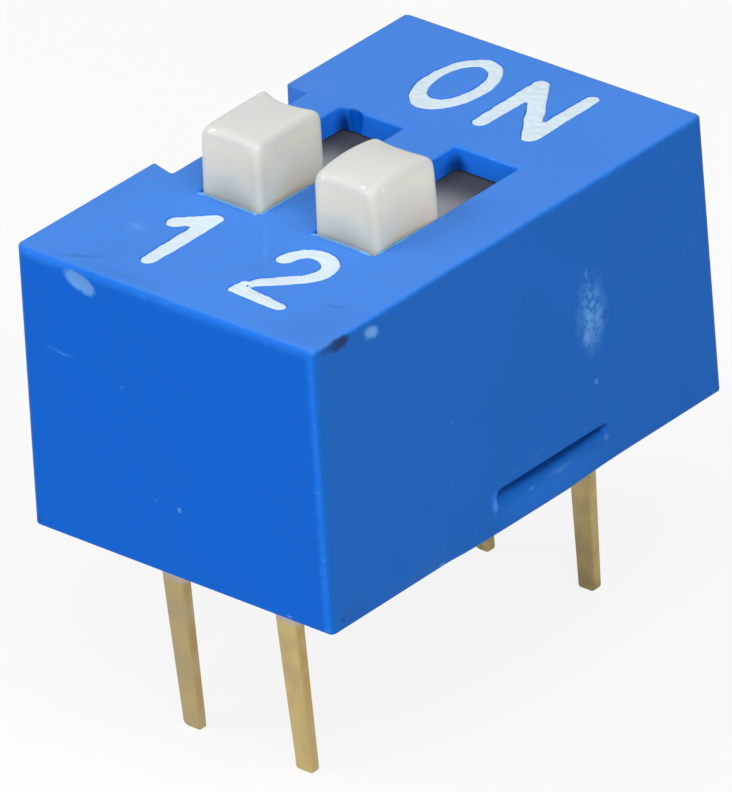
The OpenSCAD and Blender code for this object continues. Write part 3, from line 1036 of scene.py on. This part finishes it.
def model_terminal(name, size):
    """A terminal bent from strip: blade, leg with shoulders, bend and pad."""
    position, side, lean, tip_radii = TERMINALS[name]
    low, high = corners(name)
    strip, tip, pin = size["strip"], size["tip_width"], size["pin_width"]
    shoulder, drop, bend, strip_wide = 1.30, 0.30, 0.12, 1.10
    turn = high.z - bend - strip
    pad_end = high.y - low.y - strip / 2
    straight, worn_edge = 0.20, 0.014

    def middle_at(z):
        """Middle of the blade at a height: it leans more and more towards its tip."""
        share = (min(z, 0) / low.z) ** 1.15
        return Vector((-side * lean[0] * share, lean[1] * share, z))

    first = middle_at(low.z + straight)
    half = Vector((tip / 2, strip / 2, 0))
    blade = block("blade", first - half - Vector((0, 0, straight)), first + half)

    def raise_top(to_z, width):
        """Extrudes the topmost face up to a height, and makes it so wide."""
        old = max(point.co.z for point in blade.data.vertices)
        pick_faces(blade, lambda place, normal: place.z > old - TOUCH)
        ends = [point.co.x for point in blade.data.vertices if point.co.z > old - TOUCH]
        step = middle_at(to_z) - middle_at(old)
        bpy.ops.mesh.extrude_region_move(TRANSFORM_OT_translate={"value": step})
        bpy.ops.transform.resize(value=(width / (max(ends) - min(ends)), 1, 1))
        leave_edit()

    steps = 8
    for step in range(1, steps + 1):
        share = step / steps
        raise_top(first.z * (1 - share), tip + (pin - tip) * share)
    raise_top(shoulder - drop, pin)
    raise_top(shoulder, strip_wide)
    raise_top(turn, strip_wide)
    pick_faces(blade, lambda place, normal: normal.z > 0.9 and place.z > turn - TOUCH)
    centre = (0, strip / 2 + bend, turn)
    bpy.ops.mesh.spin(steps=8, angle=math.pi / 2, center=centre, axis=(-1, 0, 0))
    leave_edit()
    far = centre[1]
    pick_faces(blade, lambda place, normal: (
        normal.y > 0.9 and place.z > turn and abs(place.y - far) < TOUCH))
    bpy.ops.mesh.extrude_region_move(TRANSFORM_OT_translate={"value": (0, pad_end - far, 0)})
    leave_edit()
    for sign, radius in zip((side, -side), tip_radii):
        round_edges(blade, radius, 5, lambda a, b: (
            along(a, b, 1) and a.z < low.z + 0.01 and (a.x - first.x) * sign > 0))
    sharp = math.radians(50)
    modify(blade, "BEVEL", limit_method="ANGLE", angle_limit=sharp, width=worn_edge, segments=2)
    put(blade, pin_place(position, side, size), (0, 0, math.pi if side > 0 else 0))
    blade.name = blade.data.name = name + "_strip"
    return blade


class DIP_OT_terminals(bpy.types.Operator):
    """Model the four terminals from strip, with their bent and worn pins"""

    bl_idname = "dip.terminals"
    bl_label = "Terminals"

    def execute(self, context):
        size = sizes()
        for name in TERMINALS:
            blade = model_terminal(name, size)
            settle(blade, plating_finish(name), 40)
            declare(blade, "housing", "terminal", name)
        return {"FINISHED"}


# ------------------------------------------------------------------ resin and hidden pieces


class DIP_OT_seal(bpy.types.Operator):
    """Model the potting resin, drawn up round each pin"""

    bl_idname = "dip.seal"
    bl_label = "Resin"

    def execute(self, context):
        size = sizes()
        low, high = corners("seal")
        resin = block("resin", low, high)
        at_pin, reach, rise, sunk, edge = 0.30, 0.55, 0.07, 0.05, 0.025
        for position in (1, 2):
            for side in (-1, 1):
                combine(resin, start(
                    bpy.ops.mesh.primitive_cone_add, "collar", vertices=32,
                    radius1=at_pin, radius2=reach, depth=rise + sunk,
                    location=pin_place(position, side, size, low.z - rise / 2 + sunk / 2),
                ), "UNION")
        round_edges(resin, edge, 3, lambda a, b: max(a.z, b.z) < low.z + 0.01, 10)
        settle(resin, resin_finish(), 50)
        declare(resin, "housing", "seal", "seal")
        return {"FINISHED"}


class DIP_OT_inner(bpy.types.Operator):
    """Finish the hidden base and the two bridging contacts"""

    bl_idname = "dip.inner"
    bl_label = "Base and contacts"

    def execute(self, context):
        for name, material in (
            ("base", base_finish()),
            ("contact_1", plating_finish("contact_1")),
            ("contact_2", plating_finish("contact_2")),
        ):
            node = frame["nodes"][name]
            node.data.materials.clear()
            node.data.materials.append(material)
        return {"FINISHED"}


# ------------------------------------------------------------------ finishes


def cover_finish():
    """Blue moulded plastic: painted sheen on the top, painted highlights on its edges and rims, painted
    light in the slots and notch, painted shade on the long sides, in corners and the groove, and scuffs,
    scratches, chips and dark specks, with painted shade over one chip.
    """
    size = sizes()
    low, high = corners("cover")
    shader = Shader("blue_moulding", Roughness=0.42, Specular_IOR_Level=0.06)
    x, y, z = shader.x, shader.y, shader.z

    # how far in a place lies from each pair of faces, from the top, and from the rims of the slots
    from_side = high.x - size["side_draft"] / high.z * z - abs(x)
    from_end = high.y - size["end_draft"] / high.z * z - abs(y)
    from_top = high.z - z
    slot_side = abs(abs(x) - size["pitch"] / 2) - size["slot_width"] / 2
    slot_end = abs(y + size["slot_shift"]) - size["slot_length"] / 2
    slot_rim = abs(slot_side.most(slot_end)).most(from_top)

    clouds = shader.noise(0.55, 3, 0.55)
    mottle = shader.noise(6, 4, 0.6)
    grit = shader.noise(38, 2, 0.5)
    top = from_top.fade(0.05, 0.0)

    tone = mottle.fade(0.25, 0.75) * 0.5 + clouds.fade(0.35, 0.7) * 0.5
    # Painted shade on the long sides, in their darker blue.
    long_side = from_side.fade(0.09, 0.05).most(from_side.fade(0.30, 0.20) * from_end.fade(0.6, 1.2))
    body = shader.mix(long_side, "cover", "cover_side_shaded")
    # Painted light inside the slots, in the lighter slot blue.
    body = shader.mix(slot_side.most(slot_end).fade(0.03, 0.0), body, "cover_slot_lit")
    # Painted light on the walls of the index notch, in the top's paler blue.
    notch_half, notch_wall = size["notch_length"] / 2, low.x + size["notch_inward"]
    in_notch = abs(y - size["notch_shift"]).fade(notch_half + 0.10, notch_half + 0.04)
    in_notch = in_notch * from_side.fade(0.02, 0.06) * x.fade(notch_wall + 0.07, notch_wall + 0.01)
    in_notch = in_notch * from_top.fade(size["notch_depth"] + 0.10, size["notch_depth"] - 0.05)
    body = shader.mix(in_notch * 0.8, body, "cover_top")
    # Painted sheen on the top face, in the top's paler blue.
    face = shader.mix(top, body, "cover_top")
    face = shader.mix(tone, shader.mix(0.06, face, (0, 0, 0, 1)), face)

    # Painted highlights in the lighter edge blue: on the end faces along their top and upright edges, the
    # upright ones more strongly towards the right; along the top edges of the long sides; and along the
    # slot rims.
    wander = (shader.noise(3, 3, 0.5) - 0.5) * 0.08
    end_face = from_end.fade(0.06, 0.0)
    along_top = (from_top + wander).fade(0.24, 0.03) * (x.fade(-1.6, -2.9) * 0.25 + 0.55)
    upright = (from_side + wander).fade(0.25, 0.03) * x.fade(-2, 2) * 0.62
    highlighted = along_top.most(upright) * end_face
    highlighted = highlighted.most((from_top.most(from_side) + wander).fade(0.10, 0.0) * 0.45)
    rim = (slot_rim + (mottle - 0.5) * 0.06).fade(0.07, 0.0) * 0.75
    face = shader.mix(highlighted.most(rim), face, "cover_edge_highlight")
    # Pale specks of wear along those edges and rims, within the painted highlights' mask.
    specks = highlighted.most(rim) * shader.noise(9, 3, 0.6).fade(0.57, 0.70)
    face = shader.mix(specks * 0.30, face, "scuff")
    # Painted highlights: blots of the lighter edge blue by the groove and left of the knobs' feet.
    face = shader.mix(shader.blots(shader.place, PAINTED_HIGHLIGHTS), face, "cover_edge_highlight")
    # Painted shade in the slots' far corners and along the groove.
    face = shader.mix(shader.blots(shader.place, PAINTED_SHADE_MARKS), face, "painted_shade")

    uneven = shader.ragged(5, 0.05)
    scuffs = shader.blots(shader.ragged(7, 0.09), SCUFFS) * shader.noise(7, 5, 0.7).fade(0.36, 0.60)
    face = shader.mix(scuffs, face, "scuff")
    face = shader.mix(shader.blots(uneven, CHIPS), face, "chip")
    # Dark specks, and painted shade over the chip in the right top edge near the numbers.
    face = shader.mix(shader.blots(uneven, STAINS_AND_SHADE), face, "grime_and_shade")
    # The lips' teal is painted shade and reflected blue light at the knobs' feet; their brighter ends are
    # painted highlights.
    lip = shader.mix(shader.blots(shader.place, LIP_HIGHLIGHTS), "lip", "lip_highlight")
    face = shader.mix((z - high.z).fade(0.0, 0.012), face, lip)
    height = grit * 0.0016 + mottle * 0.003 + clouds * 0.02 - scuffs * 0.006
    return shader.dressed(face, 0.36 + mottle * 0.10 + scuffs * 0.2, height)


# Marks on the cover: strength, middle, reach along each axis, softness, and turn in degrees
SCUFFS = [
    (0.48, (3.35, 1.86, 2.95), (0.20, 0.48, 0.95), 0.9),
    (0.55, (3.35, 1.87, 1.66), (0.20, 0.08, 0.07), 0.8),
    (0.60, (3.33, -3.59, 5.09), (0.20, 0.20, 0.16), 0.8),
    (0.50, (3.35, -1.81, 2.58), (0.20, 0.06, 0.05), 0.8),
    (0.45, (3.35, -1.90, 1.45), (0.20, 0.05, 0.05), 0.8),
    (0.50, (3.35, -2.26, 0.06), (0.20, 0.14, 0.07), 0.8),
    (0.55, (-0.50, -5.07, 1.35), (0.06, 0.20, 0.05), 0.8),
    (0.50, (0.07, -5.07, 1.35), (0.06, 0.20, 0.05), 0.8),
    (0.45, (-1.08, -5.07, 3.32), (0.05, 0.20, 0.05), 0.8),
    (0.40, (-2.41, -5.07, 3.58), (0.45, 0.20, 0.03), 0.9, (0, 4, 0)),
    (0.45, (2.39, -5.07, 0.09), (0.12, 0.20, 0.05), 0.8),
    (0.30, (0.20, -2.65, 5.35), (0.95, 0.05, 0.10), 0.9, (0, 0, -47)),
    (0.25, (0.45, -2.95, 5.35), (0.60, 0.04, 0.10), 0.9, (0, 0, -44)),
    (0.30, (-2.00, -3.40, 5.35), (0.35, 0.25, 0.10), 1.0, (0, 0, 20)),
]
CHIPS = [
    (0.85, (-1.88, -5.02, 5.07), (0.41, 0.30, 0.20), 0.40, (0, 16, 0)),
    (0.95, (3.35, -3.59, 5.10), (0.20, 0.25, 0.14), 0.7, (-24, 0, 0)),
    (0.50, (3.30, -4.60, 5.35), (0.06, 0.40, 0.05), 0.8),
    (0.70, (3.35, 1.71, 2.58), (0.20, 0.15, 0.26), 0.9),
    (0.40, (3.35, 1.80, 3.74), (0.20, 0.05, 0.16), 0.9),
    (0.20, (3.35, 1.84, 2.75), (0.20, 0.34, 0.60), 1.0),
    (0.22, (3.35, 0.80, 0.46), (0.20, 0.46, 0.07), 0.9),
    (0.25, (3.35, 0.05, 0.43), (0.20, 0.12, 0.06), 0.8),
    (0.28, (3.35, 2.02, 0.50), (0.20, 0.10, 0.09), 0.8),
    (0.42, (3.35, -0.87, 0.52), (0.20, 0.09, 0.15), 0.8),
    (0.10, (3.35, 0.33, 1.02), (0.20, 0.34, 0.04), 0.9),
    (0.10, (3.35, -0.32, 0.96), (0.20, 0.18, 0.04), 0.9),
    (0.40, (3.28, -5.00, 5.33), (0.10, 0.10, 0.08), 0.8),
]
# Painted highlights: the groove's lower lip and near end, and light laid over the shaded gaps left of the
# knobs' feet
PAINTED_HIGHLIGHTS = [
    (0.50, (3.35, -0.88, 0.60), (0.20, 0.13, 0.30), 0.9),
    (0.18, (3.35, 0.60, 0.24), (0.20, 1.90, 0.26), 0.6),
    (0.85, (-1.98, -1.93, 5.25), (0.16, 0.14, 0.16), 0.6),
    (0.85, (0.56, -1.93, 5.25), (0.16, 0.14, 0.16), 0.6),
]
# Painted highlights at the ends of the lips
LIP_HIGHLIGHTS = [
    (0.90, (-1.86, -1.95, 5.38), (0.16, 0.10, 0.10), 0.8),
    (0.90, (-0.60, -1.93, 5.37), (0.11, 0.10, 0.10), 0.8),
    (0.90, (0.64, -1.95, 5.38), (0.14, 0.10, 0.10), 0.8),
    (0.90, (1.78, -1.95, 5.37), (0.16, 0.10, 0.10), 0.8),
    (0.50, (-0.55, -1.55, 5.37), (0.05, 0.30, 0.10), 0.8),
]
# Painted shade: the far left corners of the slots, and the groove's upper part and far end under its upper
# rim
PAINTED_SHADE_MARKS = [
    (0.85, (-1.92, 1.84, 4.98), (0.25, 0.36, 0.44), 0.9),
    (0.80, (0.57, 1.78, 4.98), (0.36, 0.55, 0.34), 0.9),
    (0.62, (3.16, 0.75, 0.68), (0.19, 2.30, 0.34), 0.5),
    (0.60, (3.17, 0.62, 0.70), (0.15, 1.85, 0.17), 0.5),
    (0.60, (3.22, 1.92, 0.69), (0.13, 0.25, 0.13), 0.6),
]
# Dark specks and smudges; the first two blots are painted shade over the chip in the right top edge near
# the numbers
STAINS_AND_SHADE = [
    (0.62, (3.36, -4.50, 5.29), (0.13, 0.56, 0.17), 0.6),
    (0.95, (3.36, -4.37, 5.25), (0.14, 0.34, 0.17), 0.5),
    (0.10, (2.80, -4.40, 5.35), (0.90, 0.90, 0.10), 1.0),
    (0.45, (3.35, -0.54, 2.39), (0.20, 0.06, 0.06), 0.8),
    (0.40, (3.35, -4.80, 0.20), (0.20, 0.07, 0.13), 0.9, (20, 0, 0)),
    (0.16, (3.35, -4.55, 0.25), (0.20, 0.60, 0.30), 1.0),
    (0.30, (2.57, -3.60, 5.35), (0.30, 0.05, 0.10), 0.9, (0, 0, 12)),
    (0.24, (-2.12, -4.70, 5.35), (0.70, 0.09, 0.10), 1.0, (0, 0, 28)),
    (0.14, (-1.15, -4.80, 5.35), (1.20, 0.18, 0.10), 1.0),
    (0.45, (-3.20, -5.07, 0.15), (0.08, 0.20, 0.08), 0.8),
]


def slider_finish(position):
    """Milky off-white plastic that lets light a little way in, with painted light on its sides, painted
    shade at its crown, front foot and lower right side, painted glints, and painted shade down in the slot.
    """
    size = sizes()
    cover_top = corners("cover")[1].z
    low, high = corners(f"slider_{position}")
    middle = (low + high) / 2
    habit = KNOBS[position]
    shader = Shader(
        f"off_white_moulding_{position}", Roughness=0.3, Specular_IOR_Level=0.12,
        Subsurface_Weight=0.5, Subsurface_Scale=0.35 * MM, Subsurface_Radius=(1.0, 0.80, 0.55),
    )
    waves = shader.noise(5, 3, 0.5)
    fine = shader.noise(30, 2, 0.5)
    clouds = shader.noise(1.6, 3, 0.5)
    across = (shader.x - middle.x) * (2 / size["knob_width"])
    onward = (shader.y - middle.y) * (2 / size["knob_length"])
    dome = (1 - onward * onward) * (1 - across * across * 0.5) * habit["dome"]
    drop = dome + (high.z - habit["lower"]) - shader.z
    # Painted light: the knob's sides take a lighter, yellower plastic than its top.
    face = shader.mix(drop.fade(0.34, 0.02), "slider_side_lit", "slider")
    # Painted shade: a grey dip along the crown's edge and down the front right upright ridge, damping their
    # brightness.
    ridge = shader.blot(shader.place, (middle.x + 0.64, middle.y - 0.82, 5.9), (0.30, 0.30, 0.95), 0.9)
    bend = (drop.fade(0.0, 0.05) * drop.fade(0.22, 0.06) * 0.7).most(ridge * 1.5)
    face = shader.mix(bend * 0.11, face, (0.20, 0.20, 0.18, 1))
    front, right = middle.y - size["knob_length"] / 2, middle.x + size["knob_width"] / 2
    # Painted shade and reflected blue light at the foot of the knob's front face.
    foot = shader.blot(shader.place, (middle.x - 0.15, front, cover_top), (1.0, 0.6, 0.62), 0.9)
    face = shader.mix(0.9 * foot, face, "slider_foot_shade")
    # Painted shade: a warm, brownish tone low on the knob's right side.
    worn = shader.blot(shader.place, (right, middle.y + 0.35, cover_top + 0.05), (0.5, 1.0, 0.75), 0.9)
    face = shader.mix(0.9 * worn, face, "slider_warm_shade")
    face = shader.mix(clouds.fade(0.3, 0.7) * 0.04, face, (0.5, 0.5, 0.45, 1))
    # Painted glints along the knob's crown.
    face = shader.mix(shader.blots(shader.place, habit["glinting"]), face, "glinting")
    face = shader.mix(shader.blots(shader.ragged(9, 0.04), habit["speck"]), face, "grime_and_shade")
    # Painted shade under the cover, darkest further into the slot.
    under = shader.z.fade(cover_top - 0.10, cover_top - 0.35)
    depth_in = shader.y.fade(middle.y + 1.4, middle.y + 2.5)
    darkened = shader.mix(depth_in, "slider_slot_shade", "slider_shade")
    face = shader.mix(under, face, darkened)
    return shader.dressed(face, 0.20 + waves * 0.10 + under * 0.3, waves * 0.004 + fine * 0.0003)


# The two tones of each pin's plating and the tone of its worn edge, where they aren't the usual ones.
# On the ON pins the olive tone is painted shade and dark reflection.
PLATING_TONES = {
    "terminal_1_number": ("gold_worn", "gold_pale", "brass"),
    "terminal_1_on": ("gold_worn", "olive", "gold_worn"),
    "terminal_2_on": ("gold_worn", "olive", "gold"),
}


def plating_finish(name):
    """Thin gold over brass strip: drawn lines, cloudy tone and duller stamped edges."""
    low, high = corners(name)
    shader = Shader(f"plating_{name}", Metallic=1.0, Roughness=0.35)
    drawn = shader.noise(1, 2, 0.5, at=shader.stretched(20, 20, 0.8))
    clouds = shader.noise(1.6, 3, 0.5)
    fine = shader.noise(30, 2, 0.5)
    middle = (low.x + high.x) / 2
    tone = (clouds * 0.9 + drawn * 0.15 + fine * 0.1).fade(0.40, 0.75)
    bright, dull, worn = PLATING_TONES.get(name, ("gold", "gold_worn", "brass"))
    # Painted shade and dark reflection: the ON pins turn olive towards their tips.
    if dull == "olive":
        tone = tone * 0.35 + shader.z.fade(low.z, -1.2) * 0.65
    face = shader.mix(tone, dull, bright)
    edge = (shader.x - middle).fade(0.14, 0.24) * clouds.fade(0.3, 0.6)
    face = shader.mix(edge * 0.6, face, worn)
    # A grey band on the number pins, just under the body.
    band = (shader.z + (clouds - 0.5) * 0.15).fade(-1.09, -0.97) * (1 - shader.z.fade(-0.9, -0.5) * 0.6)
    band = band * shader.z.fade(0.1, 0.0) * shader.y.fade(0, -1)
    face = shader.mix(band * 0.7, face, "grey_band")
    return shader.dressed(face, 0.30 + clouds * 0.12 + drawn * 0.04, drawn * 0.0008 + fine * 0.0006)


def ink_finish():
    """Matt white ink, a little uneven and soiled."""
    shader = Shader("white_ink", Roughness=0.6, Specular_IOR_Level=0.3)
    lumps = shader.noise(9, 4, 0.6)
    clouds = shader.noise(2, 3, 0.5)
    face = shader.mix(clouds.fade(0.35, 0.7), (0.67, 0.79, 0.88, 1), "ink")
    face = shader.mix(lumps.fade(0.30, 0.20), face, (0.55, 0.66, 0.78, 1))
    return shader.dressed(face, 0.5 + lumps * 0.2, lumps * 0.005)


def resin_finish():
    """Dark potting resin with slow waves and a few dust specks."""
    shader = Shader("potting_resin", Roughness=0.3, Specular_IOR_Level=0.4)
    waves = shader.noise(1.4, 3, 0.5)
    fine = shader.noise(24, 3, 0.6)
    face = shader.mix(waves.fade(0.3, 0.7), "resin", (0.060, 0.064, 0.075, 1))
    face = shader.mix(fine.fade(0.66, 0.74) * 0.5, face, (0.30, 0.30, 0.30, 1))
    return shader.dressed(face, 0.25 + waves * 0.25, waves * 0.05 + fine * 0.002)


def base_finish():
    """Satin blue plastic of the inner base, with faint flow lines."""
    shader = Shader("base_moulding", Roughness=0.45, Specular_IOR_Level=0.3)
    flow = shader.noise(1, 3, 0.6, at=shader.stretched(0.7, 3.5, 3.5))
    grit = shader.noise(30, 2, 0.5)
    face = shader.mix(flow.fade(0.3, 0.7), (0.008, 0.065, 0.33, 1), "base")
    return shader.dressed(face, 0.38 + flow * 0.15, flow * 0.006 + grit * 0.0015)


# ------------------------------------------------------------------ stage


def area_lamp(name, aim, direction, distance, width, power):
    """A square lamp in a direction from the point that it lights, in millimetres."""
    only(None)
    direction = Vector(direction).normalized()
    bpy.ops.object.light_add(type="AREA", location=(Vector(aim) + direction * distance) * MM)
    lamp = bpy.context.object
    lamp.name = lamp.data.name = name
    lamp.rotation_euler = direction.to_track_quat("Z", "Y").to_euler()
    lamp.data.size = width * MM
    lamp.data.energy = power


# The soft lamps: name, direction from the switch, width in millimetres
LAMPS = [
    ("key", (-0.46, -0.50, 0.78), 70),
    ("fill", (0.55, -0.20, 0.80), 110),
    ("face", (0.59, -0.64, 0.49), 110),
    ("glint", (0.12, -0.20, 0.97), 6),
]


def set_sky(strength):
    """Even white light, seen as plain white by the camera and in reflections."""
    world = bpy.data.worlds.new("sky")
    bpy.context.scene.world = world
    nodes = Nodes(world)
    level = nodes.seen() * (1 - strength) + strength
    light = nodes.node("ShaderNodeBackground", sockets={"Color": (1, 1, 1, 1), "Strength": level})
    nodes.node("ShaderNodeOutputWorld", sockets={"Surface": light}, out=None)


def floor_finish(whiteness):
    """A smooth pale table, which the camera sees as nearly white with a faint shadow on it."""
    shader = Shader("table", Roughness=0.9, Specular_IOR_Level=0.0)
    tone = shader.noise(0.03, 2, 0.5)
    shade = colours()["floor"]
    shader.feed("Base Color", shader.mix(tone, shade, (*[0.99 * c for c in shade[:3]], 1)))
    white = shader.node("ShaderNodeEmission", sockets={"Color": (1, 1, 1, 1), "Strength": 1.0})
    both = {"Fac": shader.seen() * whiteness, 1: shader.surface, 2: white}
    return shader.done(shader.node("ShaderNodeMixShader", sockets=both))


class DIP_OT_stage(bpy.types.Operator):
    """Set the pale floor, the soft lamps and the camera"""

    bl_idname = "dip.stage"
    bl_label = "Stage"

    def execute(self, context):
        look = context.scene.dip_switch_view
        scene = context.scene
        scene.view_settings.view_transform = "Standard"
        table, lamp_distance = 1500, 120
        ground = CAD_BOX[0].z / MM
        floor = start(bpy.ops.mesh.primitive_plane_add, "floor", size=table, location=(0, 0, ground))
        put(floor, scale=(MM, MM, MM))
        floor.data.materials.append(floor_finish(look.whiteness))

        set_sky(look.sky)
        aim = Vector((0.306, -0.577, 1.536))
        for name, direction, width in LAMPS:
            area_lamp(f"{name}_lamp", aim, direction, lamp_distance, width, getattr(look, name))

        around, up = look.azimuth, look.elevation
        back = Vector((math.sin(around) * math.cos(up), -math.cos(around) * math.cos(up), math.sin(up)))
        only(None)
        bpy.ops.object.camera_add(location=aim * MM + back * look.distance)
        camera = context.object
        camera.rotation_mode = "QUATERNION"
        roll = Euler((0, 0, look.roll)).to_quaternion()
        camera.rotation_quaternion = (-back).to_track_quat("-Z", "Y") @ roll
        camera.data.lens = look.lens
        camera.data.sensor_width = 36
        camera.data.clip_start, camera.data.clip_end = 0.01, 10
        scene.camera = camera
        return {"FINISHED"}


# ------------------------------------------------------------------ panel and registration

OPERATORS = (
    DIP_OT_stage, DIP_OT_cover, DIP_OT_legends, DIP_OT_sliders, DIP_OT_terminals, DIP_OT_seal, DIP_OT_inner,
)


class DIP_PT_panel(bpy.types.Panel):
    """The sizes, colours and pieces of the dip switch"""

    bl_idname = "DIP_PT_panel"
    bl_label = "Dip switch"
    bl_space_type = "VIEW_3D"
    bl_region_type = "UI"
    bl_category = "Dip switch"

    def draw(self, context):
        scene = context.scene
        for group in (scene.dip_switch_sizes, scene.dip_switch_colours, scene.dip_switch_view):
            column = self.layout.column(align=True)
            for key in type(group).__annotations__:
                column.prop(group, key)
        column = self.layout.column(align=True)
        for operator in OPERATORS:
            column.operator(operator.bl_idname)


GROUPS = (DipSwitchSizes, DipSwitchColours, DipSwitchView)


def register():
    for entry in (*GROUPS, *OPERATORS, DIP_PT_panel):
        bpy.utils.register_class(entry)
    bpy.types.Scene.dip_switch_sizes = bpy.props.PointerProperty(type=DipSwitchSizes)
    bpy.types.Scene.dip_switch_colours = bpy.props.PointerProperty(type=DipSwitchColours)
    bpy.types.Scene.dip_switch_view = bpy.props.PointerProperty(type=DipSwitchView)


def unregister():
    del bpy.types.Scene.dip_switch_view
    del bpy.types.Scene.dip_switch_colours
    del bpy.types.Scene.dip_switch_sizes
    for entry in reversed((*GROUPS, *OPERATORS, DIP_PT_panel)):
        bpy.utils.unregister_class(entry)


def main():
    register()
    bpy.ops.dip.stage()
    bpy.ops.dip.cover()
    bpy.ops.dip.legends()
    bpy.ops.dip.sliders()
    bpy.ops.dip.terminals()
    bpy.ops.dip.seal()
    bpy.ops.dip.inner()
    only(None)


if __name__ == "__main__":
    main()
